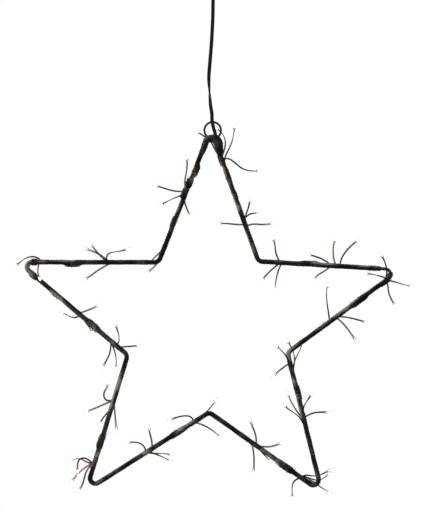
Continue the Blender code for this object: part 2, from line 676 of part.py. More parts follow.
def make_binding(start, end):
    """The tape over the top point. It closes over the rod, the ring's foot and the lead."""
    reach, top = bend_reach(CORNERS), CORNERS * SIDE
    lumps = lumps_between(start, end)
    stops = [top + station * reach for station, _ in BINDING_SHAPE if abs(station) > 1]
    stops = [way for way in stops if start < way < end]
    frames = frames_between(start, end, stops + lump_stops(lumps))
    bore = circle((ROD_RADIUS + CLEAR) / math.cos(math.pi / 12))
    sections = [binding_section((way - top) / reach, *swelling(way, lumps)) for way, _, _ in frames]
    made = sleeve("apex_binding", frames, sections, bore, CLOTH_TAPE)
    cut_away(made, ring_torus("ring_passage", RING_WIRE / 2 + CLEAR, CLOTH_TAPE))
    route = tail_points(CLEAR + CLEAR / 3)
    cut_away(made, sweep("lead_passage", route, lambda k: flat_section(CLEAR), CLOTH_TAPE))
    tail_end = tail_points()[-1]
    spots = [tail_end - along(0) * CLEAR, tail_end + along(0) * 3 * JOINT_SLEEVE_LENGTH]
    radius = (JOINT_SLEEVE_RADIUS + CLEAR) / math.cos(math.pi / 12)
    cut_away(made, sweep("splice_passage", spots, lambda k: circle(radius, 12), CLOTH_TAPE))


def main():
    make_star_frame()
    ring_torus("hanging_ring", RING_WIRE / 2, BLACK_PAINT)
    ways = [cluster_way(side, share) for side, share, _ in LED_CLUSTERS]
    for number, (way, (_, _, twigs)) in enumerate(zip(ways, LED_CLUSTERS), 1):
        make_cluster(number, way, twigs)
    gap = SPLICE_LENGTH / 2 + CLEAR
    for number, (before, after) in enumerate(zip(ways, ways[1:]), 1):
        bare = number == BARE_AFTER_CLUSTER
        make_wrap(number, before + gap, BARE_FROM if bare else after - gap)
        if bare:
            make_wrap(len(ways), BARE_TO, after - gap)
    make_winding(ways[WOUND_CLUSTER - 1] - SPLICE_LENGTH / 2)
    make_trunk(ways[0] - SPLICE_LENGTH / 2, ways[-1] + SPLICE_LENGTH / 2)
    make_apex()
    make_binding(ways[-1] + gap, CORNERS * SIDE + ways[0] - gap)
    make_lead()
    make_knot()
    make_loop()


main()
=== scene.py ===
"""Looks of a lit star that hangs by its own flat twin lead.

A bent rod is wound with cloth tape and carries lit wire twigs. Metres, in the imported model's frame: +Z is up, the
star faces -Y, and the origin is the inner top of the lead's loop.
"""

import math

import bmesh
import bpy
import numpy as np
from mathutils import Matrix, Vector, noise


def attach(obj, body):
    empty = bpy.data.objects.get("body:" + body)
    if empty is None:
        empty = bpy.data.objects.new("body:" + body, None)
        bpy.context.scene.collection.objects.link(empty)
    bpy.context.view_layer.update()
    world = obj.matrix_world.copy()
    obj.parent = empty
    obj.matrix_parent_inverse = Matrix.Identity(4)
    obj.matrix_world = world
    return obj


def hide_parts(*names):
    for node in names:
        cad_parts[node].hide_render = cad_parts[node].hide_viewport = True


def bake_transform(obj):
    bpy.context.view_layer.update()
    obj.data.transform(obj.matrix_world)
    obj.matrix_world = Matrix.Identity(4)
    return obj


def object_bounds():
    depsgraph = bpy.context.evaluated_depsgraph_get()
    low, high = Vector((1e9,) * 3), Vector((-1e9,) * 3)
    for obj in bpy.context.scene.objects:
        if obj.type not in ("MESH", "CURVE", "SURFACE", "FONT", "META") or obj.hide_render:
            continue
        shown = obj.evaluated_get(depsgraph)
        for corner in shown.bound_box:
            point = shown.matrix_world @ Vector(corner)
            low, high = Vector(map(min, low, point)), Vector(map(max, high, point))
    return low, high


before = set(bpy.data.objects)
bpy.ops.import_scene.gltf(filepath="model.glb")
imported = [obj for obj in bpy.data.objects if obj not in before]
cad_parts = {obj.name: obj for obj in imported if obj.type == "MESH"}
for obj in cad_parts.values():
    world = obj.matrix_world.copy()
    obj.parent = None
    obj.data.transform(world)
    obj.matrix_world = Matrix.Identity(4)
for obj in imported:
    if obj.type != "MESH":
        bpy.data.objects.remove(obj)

cad_box = [list(corner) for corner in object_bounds()]


# Studio: a pale sweep of floor far below the hanging star, soft lamps on both sides and overhead, and a white
# background. The camera stands level with the middle of the picture, rolled a little as the photograph is.
scene = bpy.context.scene
scene.view_settings.view_transform = "Standard"
camera_distance = 2.1
picture_height = 0.5581
picture_side, picture_middle = 0.0040, -0.3245
camera_roll = math.radians(0.95)
camera_data = bpy.data.cameras.new("camera")
camera_data.sensor_width = 36
camera_data.lens = camera_data.sensor_width * camera_distance / picture_height
camera_data.clip_start, camera_data.clip_end = 0.01, 50
camera = bpy.data.objects.new("camera", camera_data)
camera.location = (picture_side, -camera_distance, picture_middle)
camera.rotation_euler = (math.radians(90), -camera_roll, 0)
scene.collection.objects.link(camera)
scene.camera = camera


def surface(name):
    """A new material: (material, its nodes, its links, its shader)."""
    made = bpy.data.materials.new(name)
    made.use_nodes = True
    nodes, links = made.node_tree.nodes, made.node_tree.links
    return made, nodes, links, nodes["Principled BSDF"]


def ramp(nodes, links, source, stops):
    """A colour ramp fed by source. stops are (position, colour)."""
    made = nodes.new("ShaderNodeValToRGB")
    while len(made.color_ramp.elements) < len(stops):
        made.color_ramp.elements.new(0.5)
    for element, (position, colour) in zip(made.color_ramp.elements, stops):
        element.position = position
        element.color = (*colour, 1)
    links.new(source, made.inputs[0])
    return made.outputs["Color"]


def bump(nodes, links, source, shader, distance, strength):
    """Fine relief on a shader, as high as distance where source is 1."""
    made = nodes.new("ShaderNodeBump")
    made.inputs["Strength"].default_value = strength
    made.inputs["Distance"].default_value = distance
    links.new(source, made.inputs["Height"])
    links.new(made.outputs["Normal"], shader.inputs["Normal"])


def speckle(nodes, links, scale, detail=3.0, stretch=None):
    """Noise in the object's frame, at scale cells a metre. Its output is a factor."""
    coordinates = nodes.new("ShaderNodeTexCoord")
    made = nodes.new("ShaderNodeTexNoise")
    made.inputs["Scale"].default_value = scale
    made.inputs["Detail"].default_value = detail
    source = coordinates.outputs["Object"]
    if stretch:
        shaped = nodes.new("ShaderNodeMapping")
        shaped.inputs["Scale"].default_value = stretch
        links.new(source, shaped.inputs["Vector"])
        source = shaped.outputs["Vector"]
    links.new(source, made.inputs["Vector"])
    return made.outputs["Fac"]


floor_radius = 1.1
floor_drop = 0.22
floor_mesh = bmesh.new()
bmesh.ops.create_circle(floor_mesh, cap_ends=True, segments=128, radius=floor_radius)
floor_data = bpy.data.meshes.new("floor")
floor_mesh.to_mesh(floor_data)
floor_mesh.free()
floor = bpy.data.objects.new("floor", floor_data)
floor.location = (0, 0, cad_box[0][2] - floor_drop)
scene.collection.objects.link(floor)
pale, nodes, links, shader = surface("pale_floor")
shader.inputs["Roughness"].default_value = 0.9
shader.inputs["Specular IOR Level"].default_value = 0.1
blotches = speckle(nodes, links, 6)
links.new(ramp(nodes, links, blotches, ((0.3, (0.80, 0.80, 0.79)), (0.7, (0.84, 0.84, 0.83)))),
          shader.inputs["Base Color"])
floor_data.materials.append(pale)

world = bpy.data.worlds.new("studio")
scene.world = world
world.use_nodes = True
nodes, links = world.node_tree.nodes, world.node_tree.links
rays = nodes.new("ShaderNodeLightPath")
seen = nodes.new("ShaderNodeMath")
seen.operation = "MAXIMUM"
links.new(rays.outputs["Is Camera Ray"], seen.inputs[0])
links.new(rays.outputs["Is Transmission Ray"], seen.inputs[1])
seen_or_mirrored = nodes.new("ShaderNodeMath")
seen_or_mirrored.operation = "MAXIMUM"
links.new(seen.outputs[0], seen_or_mirrored.inputs[0])
links.new(rays.outputs["Is Glossy Ray"], seen_or_mirrored.inputs[1])
room = nodes["Background"]
room.inputs["Color"].default_value = (0.92, 0.95, 1.0, 1)
room.inputs["Strength"].default_value = 0.42
backdrop = nodes.new("ShaderNodeBackground")
backdrop.inputs["Color"].default_value = (1, 1, 1, 1)
backdrop.inputs["Strength"].default_value = 1.0
either = nodes.new("ShaderNodeMixShader")
links.new(seen_or_mirrored.outputs[0], either.inputs["Fac"])
links.new(room.outputs[0], either.inputs[1])
links.new(backdrop.outputs[0], either.inputs[2])
links.new(either.outputs[0], nodes["World Output"].inputs["Surface"])

lamp_aim = Vector((0, 0, -0.38))
for name, spot, width, power, colour in (
    ("key_lamp", (-1.7, -0.6, 0.3), 0.7, 22.0, (1.0, 0.98, 0.95)),
    ("fill_lamp", (1.3, -1.1, -0.3), 1.0, 3.0, (0.95, 0.97, 1.0)),
    ("top_lamp", (-0.3, 0.5, 0.9), 0.9, 8.0, (1.0, 1.0, 1.0)),
):
    lamp_data = bpy.data.lights.new(name, "AREA")
    lamp_data.size = width
    lamp_data.energy = power
    lamp_data.color = colour
    lamp = bpy.data.objects.new(name, lamp_data)
    lamp.location = spot
    lamp.rotation_euler = (lamp_aim - Vector(spot)).to_track_quat("-Z", "Y").to_euler()
    scene.collection.objects.link(lamp)


# Hanging lead: two cores side by side in one satin black sheath, with a shallow groove between them. It hangs
# taut from its knot to the star's ring, a little wavy, with a slow half turn just over the ring.
lead_width, lead_thickness = 0.004, 0.002
lead_exit = Vector((0.0010, 0, -0.1754))
free_lead = 0.1383
route_spacing = 0.0012
# Where the lead runs, from the exit up: to the side in lead widths, and the share of its free height
lead_route = (
    (0.25, 0.0), (0.15, 0.05), (-0.22, 0.112), (-0.52, 0.199), (-0.77, 0.293), (-0.8, 0.343), (-0.67, 0.408),
    (-0.45, 0.502), (-0.25, 0.596), (-0.1, 0.697), (0.0, 0.806), (0.0, 0.921), (0.0, 1.0),
)


def smooth_route(points, spacing):
    """Evenly spaced points on a smooth curve through the given ones."""
    spots = np.array([tuple(point) for point in points])
    before = np.vstack([spots[:1], spots[:-1]])
    after = np.vstack([spots[1:], spots[-1:]])
    pull = (after - before) / 6
    share = np.linspace(0, 1, 24, endpoint=False)[:, None]
    fine = []
    for k in range(len(spots) - 1):
        a, b, c, d = spots[k], spots[k] + pull[k], spots[k + 1] - pull[k + 1], spots[k + 1]
        fine.append((1 - share) ** 3 * a + 3 * (1 - share) ** 2 * share * b
                    + 3 * (1 - share) * share ** 2 * c + share ** 3 * d)
    fine = np.vstack([*fine, spots[-1:]])
    lengths = np.concatenate([[0], np.cumsum(np.linalg.norm(np.diff(fine, axis=0), axis=1))])
    marks = np.linspace(0, lengths[-1], max(2, round(lengths[-1] / spacing)) + 1)
    return [Vector(spot) for spot in zip(*(np.interp(marks, lengths, fine[:, axis]) for axis in range(3)))]


def rings_along(points, section_at, side_hint, turn_at=None):
    """Rings of points round a path. section_at(k) gives (side, over) pairs, and turn_at(k) turns them."""
    rings, side = [], Vector(side_hint)
    for k, point in enumerate(points):
        ahead = (points[min(k + 1, len(points) - 1)] - points[max(k - 1, 0)]).normalized()
        side = (side - ahead * side.dot(ahead)).normalized()
        over = ahead.cross(side)
        turn = turn_at(k) if turn_at else 0.0
        across = side * math.cos(turn) + over * math.sin(turn)
        through = over * math.cos(turn) - side * math.sin(turn)
        rings.append([tuple(point + across * a + through * b) for a, b in section_at(k)])
    return rings


def skinned(name, runs, finish, sharp=50):
    """One piece from runs of rings, each (rings, closed) and the number of its finish. An open run gets end caps."""
    vertices, faces, finish_of = [], [], []
    for rings, closed, *number in runs:
        first, count, sides = len(vertices), len(rings), len(rings[0])
        for ring in rings:
            vertices.extend(ring)
        for k in range(count if closed else count - 1):
            a, b = first + k * sides, first + (k + 1) % count * sides
            faces += [(a + j, a + (j + 1) % sides, b + (j + 1) % sides, b + j) for j in range(sides)]
        if not closed:
            faces.append(tuple(range(first, first + sides)))
            faces.append(tuple(range(first + (count - 1) * sides, first + count * sides)))
        finish_of += [number[0] if number else 0] * (len(faces) - len(finish_of))
    data = bpy.data.meshes.new(name)
    data.from_pydata(vertices, [], faces)
    work = bmesh.new()
    work.from_mesh(data)
    bmesh.ops.recalc_face_normals(work, faces=work.faces)
    work.to_mesh(data)
    work.free()
    for coat in finish if isinstance(finish, tuple) else (finish,):
        data.materials.append(coat)
    data.polygons.foreach_set("material_index", finish_of)
    data.shade_smooth()
    data.set_sharp_from_angle(angle=math.radians(sharp))
    made = bpy.data.objects.new(name, data)
    scene.collection.objects.link(made)
    return made


def twin_section(width, thickness):
    """The sheath's outline: two round lobes with a groove between them on both faces."""
    radius = thickness / 2
    groove = radius * 0.62
    lobe_middle, lobe_steps = width / 2 - radius, 8
    lobe = [math.radians(-118 + 236 * k / lobe_steps) for k in range(lobe_steps + 1)]
    right = [(lobe_middle + radius * math.cos(angle), radius * math.sin(angle)) for angle in lobe]
    left = [(-x, -y) for x, y in right]
    return [*right, (0, groove), *left, (0, -groove)]


def lead_turn(share):
    """The half turn of the lead just over the ring."""
    turn_top, turn_span = 0.40, 0.37
    rise = min(1.0, max(0.0, (turn_top - share) / turn_span))
    return math.pi * rise * rise * (3 - 2 * rise)


sheath, nodes, links, shader = surface("lead_sheath")
shader.inputs["Roughness"].default_value = 0.5
shader.inputs["Specular IOR Level"].default_value = 0.09
scuffs = speckle(nodes, links, 900, 4, (1, 1, 0.12))
links.new(ramp(nodes, links, scuffs, ((0.35, (0.0035, 0.0035, 0.0032)), (0.75, (0.0095, 0.0095, 0.0085)))),
          shader.inputs["Base Color"])
bump(nodes, links, scuffs, shader, 0.00002, 0.2)

exit_side = lead_route[0][0]
lead_points = smooth_route(
    [lead_exit + Vector(((side - exit_side) * lead_width, 0, share * free_lead)) for side, share in lead_route],
    route_spacing,
)
lead_outline = twin_section(lead_width, lead_thickness)
last_spot = len(lead_points) - 1
lead = skinned(
    "free_lead",
    [(rings_along(lead_points, lambda k: lead_outline, (1, 0, 0), lambda k: lead_turn(k / last_spot)), False)],
    sheath,
)
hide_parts("hanging_lead")


# Knot: the lead is turned three times round itself over the free stretch and drawn tight, so its flat turns lie
# edge to edge. The free stretch comes out of its rounded underside.
knot_middle = Vector((0, 0, -0.0313))
knot_radius = 0.0055
knot_turns = 3
turn_height = 2 * knot_radius / (knot_turns + 0.55)
turns_squeezed = 0.93
turn_reach, ends_drawn_in = 0.0031, 0.0007
turn_steps, tuck_steps = 40, 16
last_step = knot_turns * turn_steps


def knot_path(k):
    """The place of the wound turns' middle line, drawn in at both ends of the barrel."""
    share = k / last_step
    height = turns_squeezed * (knot_turns * turn_height) * (share - 0.5)
    around = 2 * math.pi * k / turn_steps
    reach = turn_reach - ends_drawn_in * abs(2 * share - 1) ** 3
    return knot_middle + Vector((reach * math.cos(around), reach * math.sin(around), height))


knot_points = [knot_path(k) for k in range(last_step + 1)]
turn_outline = [(a * 0.92, b * 0.9) for a, b in twin_section(turn_height, lead_thickness)]


def scaled(outline, share):
    return [(a * share, b * share) for a, b in outline]


def tucked_outline(k):
    """The turns' section, drawn small where the strip's two ends are tucked in."""
    return scaled(turn_outline, min(1.0, 0.3 + 0.7 * min(k, last_step - k) / tuck_steps))


def round_section(radius, sides):
    turns = [2 * math.pi * j / sides for j in range(sides)]
    return [(radius * math.cos(angle), radius * math.sin(angle)) for angle in turns]


def tapered(start, reach, shape, outline, side_hint):
    """Rings of one outline from start along reach. shape gives (share of reach, share of the outline's size)."""
    spine = [start + reach * share for share, _ in shape]
    return rings_along(spine, lambda k: scaled(outline, shape[k][1]), side_hint)


# The core under the turns: each ring's height over the middle in knot radii, and its share of the core's radius
core_radius = 0.0022
core_shape = (
    (-1.02, 0.4), (-0.93, 0.75), (-0.72, 0.95), (-0.48, 1), (-0.24, 1), (0.0, 1), (0.25, 1), (0.5, 1), (0.75, 0.85),
    (0.99, 0.7),
)
knot = skinned(
    "lead_knot_turns",
    [
        (rings_along(knot_points, tucked_outline, (0, 0, 1)), False),
        (tapered(knot_middle, Vector((0, 0, knot_radius)), core_shape, round_section(core_radius, 20), (1, 0, 0)),
         False),
    ],
    sheath,
)
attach(knot, "hanger")
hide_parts("lead_knot")


# Loop: the same flat lead bent over its thin side into an eye for a hook, with both legs drawn into the knot.
loop_half = 0.0075
leg_side = 0.0018
legs_straight = 0.003
loop_gap = 0.0002
loop_foot = knot_middle.z + knot_radius + loop_gap
round_middle = lead_thickness / 2 - loop_half
round_steps = 8
loop_spots = [Vector((-leg_side, 0, loop_foot)), Vector((-leg_side * 1.05, 0, loop_foot + legs_straight)),
              Vector((-loop_half * 0.8, 0, (loop_foot + round_middle) / 2))]
for k in range(round_steps + 1):
    angle = math.pi - math.pi * k / round_steps
    loop_spots.append(Vector((loop_half * math.cos(angle), 0, round_middle + loop_half * math.sin(angle))))
loop_spots += [Vector((-spot.x, 0, spot.z)) for spot in reversed(loop_spots[:3])]
loop = skinned(
    "lead_eye",
    [(rings_along(smooth_route(loop_spots, route_spacing), lambda k: lead_outline, (0, 1, 0)), False)],
    sheath,
)
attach(loop, "hanger")
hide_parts("lead_loop")
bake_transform(lead)


# Rod: 3.6 mm steel wire bent at ten corners into the star's outline and butt-welded, under a satin black coat.
# It was bent by hand, so each corner lies a little off its regular place, to the side and upward. A way is the
# distance along it from the top corner, clockwise, as if the corners were sharp and the sides all of one length.
centre = Vector((0, 0, -0.40402))
tip_radius, valley_radius = 0.218, 0.0908
tip_bend, valley_bend = 0.0055, 0.007
rod_radius = 0.0018
back = Vector((0, 1, 0))
hand_bent = (
    (0, 0), (0.0007, 0.0011), (0.0008, 0.0005), (0.0006, 0.0036), (-0.0012, 0.0011),
    (0.0034, 0.0005), (-0.0012, -0.0014), (-0.0003, -0.0021), (0, 0.002), (-0.0013, -0.0018),
)


def corner(number):
    """Where two straight sides would meet, clockwise from the top. Even numbers are tips, odd ones valleys."""
    angle = math.radians(90 - 36 * number)
    reach = valley_radius if number % 2 else tip_radius
    side, height = hand_bent[number % 10]
    return centre + Vector((reach * math.cos(angle) + side, 0, reach * math.sin(angle) + height))


side_length = (corner(1) - corner(0)).length


def along(number):
    """The direction of the side that follows a corner."""
    return (corner(number + 1) - corner(number)).normalized()


def turn_angle(number):
    """How far the rod turns at a corner, positive to the left as seen from the front."""
    before, after = along(number - 1), along(number)
    return math.atan2(before.x * after.z - before.z * after.x, before.dot(after))


def bend_radius(number):
    return valley_bend if number % 2 else tip_bend


def bend_reach(number):
    """How much of the way on each side of a corner its bend takes up."""
    return bend_radius(number) * math.tan(abs(turn_angle(number)) / 2)


def on_side(way):
    """(point, outward direction) on a straight side, the run between its bends evenly stretched."""
    number = math.floor(way / side_length)
    ahead = along(number)
    first, last = bend_reach(number), bend_reach(number + 1)
    run = (corner(number + 1) - corner(number)).length - first - last
    past = first + (way - number * side_length - first) * run / (side_length - first - last)
    return corner(number) + ahead * past, Vector((-ahead.z, 0, ahead.x))


def place(way):
    """(point, outward direction) on the rod's middle line."""
    number = round(way / side_length)
    reach = bend_reach(number)
    past = way - number * side_length
    if abs(past) >= reach:
        return on_side(way)
    turn = turn_angle(number)
    start, outward = on_side(number * side_length - reach)
    middle = start + outward * math.copysign(bend_radius(number), turn)
    angle = turn * (past / reach + 1) / 2
    arm, cos, sin = start - middle, math.cos(angle), math.sin(angle)
    return (middle + Vector((arm.x * cos - arm.z * sin, 0, arm.x * sin + arm.z * cos)),
            Vector((outward.x * cos - outward.z * sin, 0, outward.x * sin + outward.z * cos)))


def ring_at(way, section):
    """A ring of points round the rod. section gives (outward, to the rear) pairs."""
    point, outward = place(way)
    return [tuple(point + outward * out + back * behind) for out, behind in section]


coat, nodes, links, shader = surface("satin_black_coat")
shader.inputs["Specular IOR Level"].default_value = 0.2
orange_peel, flecks = speckle(nodes, links, 1400, 2), speckle(nodes, links, 260, 5)
links.new(ramp(nodes, links, flecks, ((0.35, (0.009, 0.009, 0.009)), (0.72, (0.022, 0.022, 0.021)))),
          shader.inputs["Base Color"])
rough = nodes.new("ShaderNodeMapRange")
rough.inputs["To Min"].default_value, rough.inputs["To Max"].default_value = 0.3, 0.5
links.new(orange_peel, rough.inputs["Value"])
links.new(rough.outputs[0], shader.inputs["Roughness"])
bump(nodes, links, orange_peel, shader, 0.00004, 0.5)

rod_ways = []
for number in range(10):
    corner_way, reach = number * side_length, bend_reach(number)
    next_bend = (number + 1) * side_length - bend_reach(number + 1)
    rod_ways += list(corner_way + reach * np.linspace(-1, 1, 9 if number % 2 else 15))
    rod_ways += list(np.linspace(corner_way + reach, next_bend, 8)[1:-1])
rod = skinned("bent_rod", [([ring_at(way, round_section(rod_radius, 20)) for way in rod_ways], True)], coat)
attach(rod, "star")
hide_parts("star_frame")


# Hanging ring: 2.4 mm wire closed into a 20.5 mm ring in the same coat. Its foot is bound to the back of the top
# bend.
ring_middle = centre + Vector((0.0019, 0.0033, 0.21667))
ring_reach = 0.00905
ring_wire = 0.0024
ring_steps = 72
ring_section = round_section(ring_wire / 2, 18)
ring_rings = []
for k in range(ring_steps):
    angle = 2 * math.pi * k / ring_steps
    outward = Vector((math.cos(angle), 0, math.sin(angle)))
    ring_rings.append([tuple(ring_middle + outward * (ring_reach + a) + back * b) for a, b in ring_section])
hanging_ring = skinned("bound_ring", [(ring_rings, True)], coat)
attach(hanging_ring, "star")
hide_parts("hanging_ring")


# Feed wires: the string's two lacquered copper wires, twisted together, run along the front of the rod under the
# tape from the first splice round to the last, and feed every splice.
wire_radius = 0.0003
trunk_depth = 0.0027
trunk_reach = 0.0006
twist_length = 0.0085
trunk_steps = 1150
splice_length = 0.012
last_splice = 0.559
# The lead ends this far past the top bend. Its splice in a sleeve and some room come before the first cluster.
tail_past_bend = 0.0057
sleeve_length, sleeve_room = 0.009, 0.0006
tail_way = bend_reach(0) + tail_past_bend


def cluster_way(side, share):
    """The way of a splice's middle. The first one follows the lead's own splice."""
    if share is None:
        return tail_way + sleeve_length + splice_length / 2 + sleeve_room
    first = bend_reach(side) + splice_length / 2
    last = side_length - bend_reach(side + 1) - splice_length / 2
    return side * side_length + first + share * (last - first)


def attribute(nodes, name):
    made = nodes.new("ShaderNodeAttribute")
    made.attribute_name = name
    return made


def multiplied(nodes, links, first, second, share):
    """The first colour times the second, share of the way. Second and share are sockets or fixed values."""
    made = nodes.new("ShaderNodeMix")
    made.data_type = "RGBA"
    made.blend_type = "MULTIPLY"
    for name, source in (("A", first), ("B", second), ("Factor", share)):
        if isinstance(source, bpy.types.NodeSocket):
            links.new(source, made.inputs[name])
        else:
            made.inputs[name].default_value = source
    return made.outputs["Result"]


lacquer, nodes, links, shader = surface("lacquered_wire")
shader.inputs["Roughness"].default_value = 0.4
shader.inputs["Specular IOR Level"].default_value = 0.14
mottle = ramp(nodes, links, speckle(nodes, links, 700, 3), ((0.3, (0.62, 0.60, 0.60)), (0.7, (1.0, 1.0, 1.0))))
links.new(multiplied(nodes, links, attribute(nodes, "tint").outputs["Color"], mottle, 1.0),
          shader.inputs["Base Color"])
bump(nodes, links, speckle(nodes, links, 2500, 2), shader, 0.00003, 0.5)


def tint(made, colours):
    """Gives a piece its colour, lacquer with painted glow on the twigs: one for all of its vertices, or one for
    each.
    """
    rows = np.broadcast_to(colours, (len(made.data.vertices), 3))
    layer = made.data.color_attributes.new("tint", "FLOAT_COLOR", "POINT")
    layer.data.foreach_set("color", np.insert(rows, 3, 1.0, axis=1).astype(np.float32).ravel())


trunk_ways = np.linspace(
    cluster_way(0, None) - splice_length / 2, cluster_way(9, last_splice) + splice_length / 2, trunk_steps)
# A strand is a little thinner than its distance from the twist's middle, so that the two don't cut each other.
strand_section = round_section(wire_radius * 0.96, 6)
trunk_runs = []
for strand in (0, math.pi):
    rings = []
    for way in trunk_ways:
        around = 2 * math.pi * way / twist_length + strand
        out, behind = wire_radius * math.cos(around), wire_radius * math.sin(around) - trunk_depth
        rings.append(ring_at(way, [(out + a, behind + b) for a, b in strand_section]))
    trunk_runs.append((rings, False))
trunk = skinned("feed_wires", trunk_runs, lacquer)
tint(trunk, (0.045, 0.018, 0.016))
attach(trunk, "star")
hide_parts("string_trunk")


# Cloth tape: black cotton tape lapped round the rod and the feed wires between the splices. It swells over the
# string's joints, its edges stand up a little at each lap, and stray threads hang out of the thick places.
lap_pitch = 0.0034
lap_rise, lap_flat = 0.00022, 0.84
tape_outer, tape_bore = 0.00065, 0.00012
extra_wall = 0.00022
end_taper = 0.0008
ring_spacing = 0.00042
sides_round = 24
weave_scale = 190
full_swell = 0.0022


def hull_reach(margin, angle):
    """How far the outline that wraps rod and feed wires together lies from the rod's middle at one angle."""
    rod, wires = rod_radius + margin, trunk_reach + margin
    slope = math.asin((rod_radius - trunk_reach) / trunk_depth)
    angle = (angle + math.pi / 2) % (2 * math.pi) - math.pi / 2
    if -slope <= angle <= math.pi + slope:
        return rod
    lean = abs(angle - 1.5 * math.pi if angle > math.pi else angle + math.pi / 2)
    edge = math.atan2(wires * math.cos(slope), trunk_depth + wires * math.sin(slope))
    if lean >= edge:
        return rod / max(1e-6, math.cos(math.pi / 2 - slope - lean))
    return trunk_depth * math.cos(lean) + math.sqrt(max(0.0, wires ** 2 - (trunk_depth * math.sin(lean)) ** 2))


directions = [2 * math.pi * j / sides_round for j in range(sides_round)]


def hull_outline(margin):
    """The whole outline that wraps rod and feed wires together, as (outward, to the rear) pairs."""
    reaches = [hull_reach(margin, angle) for angle in directions]
    return [(reach * math.cos(angle), reach * math.sin(angle)) for reach, angle in zip(reaches, directions)]


# The side of the star, the place on it, half the length in splices, and the added radius and lean in rod radii
tape_lumps = (
    (0, 0.350, 0.8, 0.22, 0.0), (0, 0.500, 0.5, 0.20, 0.11), (1, 0.365, 1.1, 0.39, 0.42),
    (1, 0.810, 0.5, 0.15, 0.0), (2, 0.048, 0.45, 0.35, -0.30), (2, 0.365, 1.15, 0.60, 0.28),
    (2, 0.690, 0.9, 0.17, -0.28), (3, 0.290, 0.9, 0.39, 0.33), (4, 0.320, 1.15, 0.75, 0.22),
    (4, 0.660, 0.6, 0.22, -0.28), (5, 0.255, 1.0, 0.50, 0.0), (6, 0.360, 0.85, 0.80, 0.28),
    (7, 0.320, 0.85, 0.80, 0.0), (7, 0.655, 0.6, 0.17, 0.17), (7, 0.859, 0.5, 0.50, 0.28),
    (8, 0.385, 1.0, 0.72, -0.83), (9, 0.300, 0.7, 0.28, 0.33), (9, 0.595, 0.5, 0.80, 0.3),
    (9, 0.690, 0.75, 0.56, -0.67), (9, 0.850, 0.6, 0.22, -0.11),
)

tape, nodes, links, shader = surface("black_cloth_tape")
shader.inputs["Roughness"].default_value = 0.6
shader.inputs["Specular IOR Level"].default_value = 0.02
shader.inputs["Sheen Weight"].default_value = 0.02
shader.inputs["Sheen Roughness"].default_value = 0.5
run = nodes.new("ShaderNodeUVMap")
run.uv_map = "tape_run"
threads = []
for direction in ("X", "Y"):
    thread = nodes.new("ShaderNodeTexWave")
    thread.wave_type = "BANDS"
    thread.bands_direction = direction
    thread.inputs["Scale"].default_value = 1.0
    thread.inputs["Distortion"].default_value = 1.2
    thread.inputs["Detail"].default_value = 1.0
    links.new(run.outputs[0], thread.inputs["Vector"])
    threads.append(thread)
weave = nodes.new("ShaderNodeMath")
weave.operation = "MAXIMUM"
links.new(threads[0].outputs["Fac"], weave.inputs[0])
links.new(threads[1].outputs["Fac"], weave.inputs[1])
patch = speckle(nodes, links, 95, 4)
# This mix holds wear and painted light: the tape's faces toward the upper left are painted paler, besides lap edges,
# swellings and patches.
wear_and_light = nodes.new("ShaderNodeMath")
wear_and_light.operation = "MULTIPLY_ADD"
links.new(attribute(nodes, "wear_and_painted_light").outputs["Fac"], wear_and_light.inputs[0])
wear_and_light.inputs[1].default_value = 0.45
links.new(patch, wear_and_light.inputs[2])
tape_colour = ramp(nodes, links, wear_and_light.outputs[0], (
    (0.42, (0.0060, 0.0060, 0.0052)), (0.60, (0.0150, 0.0147, 0.0120)), (0.78, (0.060, 0.059, 0.047)),
    (0.98, (0.25, 0.24, 0.19))))
flux_brown = (0.80, 0.50, 0.52, 1)
stained = multiplied(nodes, links, tape_colour, flux_brown, attribute(nodes, "stain").outputs["Fac"])
thread_shade = ramp(nodes, links, weave.outputs[0], ((0.2, (0.35, 0.35, 0.35)), (0.9, (1, 1, 1))))
links.new(multiplied(nodes, links, stained, thread_shade, 0.5), shader.inputs["Base Color"])
bump(nodes, links, weave.outputs[0], shader, 0.00012, 0.7)

# Painted light: the tape's faces toward this side, up, left and to the front, are made paler in patches, as if lit
# from there.
painted_light_side = Vector((-0.8, -0.3, 0.5))
# Where the tape is paler or stained with flux: the side and the place on it, half the length, and how much of each
lighter_and_stained_patches = (
    (0.14, 0.020, 0.28, 0.85), (0.31, 0.016, 0.16, 0.55), (0.55, 0.016, 0.25, 0.0), (1.70, 0.034, -0.48, 0.0),
    (2.13, 0.005, 0.25, 1.0), (2.30, 0.014, -0.05, 0.6), (2.62, 0.030, -0.45, 0.0), (3.02, 0.008, 0.50, 0.0),
    (3.24, 0.026, 0.34, 0.05), (3.60, 0.010, 0.26, 0.25), (4.34, 0.010, 0.66, 0.1), (4.50, 0.014, 0.60, 0.0),
    (4.82, 0.022, 0.30, 0.0), (5.00, 0.005, 0.25, 0.3), (5.26, 0.020, -0.35, 0.0), (5.50, 0.011, 0.65, 0.0),
    (5.92, 0.012, 0.25, 0.0), (6.33, 0.011, 0.42, 0.7), (6.43, 0.005, 0.60, 0.0), (6.80, 0.008, 0.85, 0.0),
    (7.31, 0.017, 0.52, 0.3), (7.97, 0.013, 1.05, 0.1), (8.33, 0.014, -0.05, 0.9), (9.62, 0.010, 0.45, 0.7),
    (9.72, 0.014, 0.32, 0.6),
)


def lighter_and_stain_at(way):
    """How much paler and how stained the tape is there."""
    lighter = brown = 0.0
    for spot, half, paler, redder in lighter_and_stained_patches:
        share = math.exp(-((way - spot * side_length) / half) ** 2)
        lighter, brown = lighter + paler * share, brown + redder * share
    return lighter, brown


def lower_lean(way):
    """How far the tape leans outward on the four sides of the lower points. It sets in over an eighth of a side."""
    full_lean, side = 0.0004, way / side_length
    return full_lean * min(1.0, max(0.0, min(side - 2.0, 6.0 - side) * 8))


bore_outline = hull_outline(tape_bore)
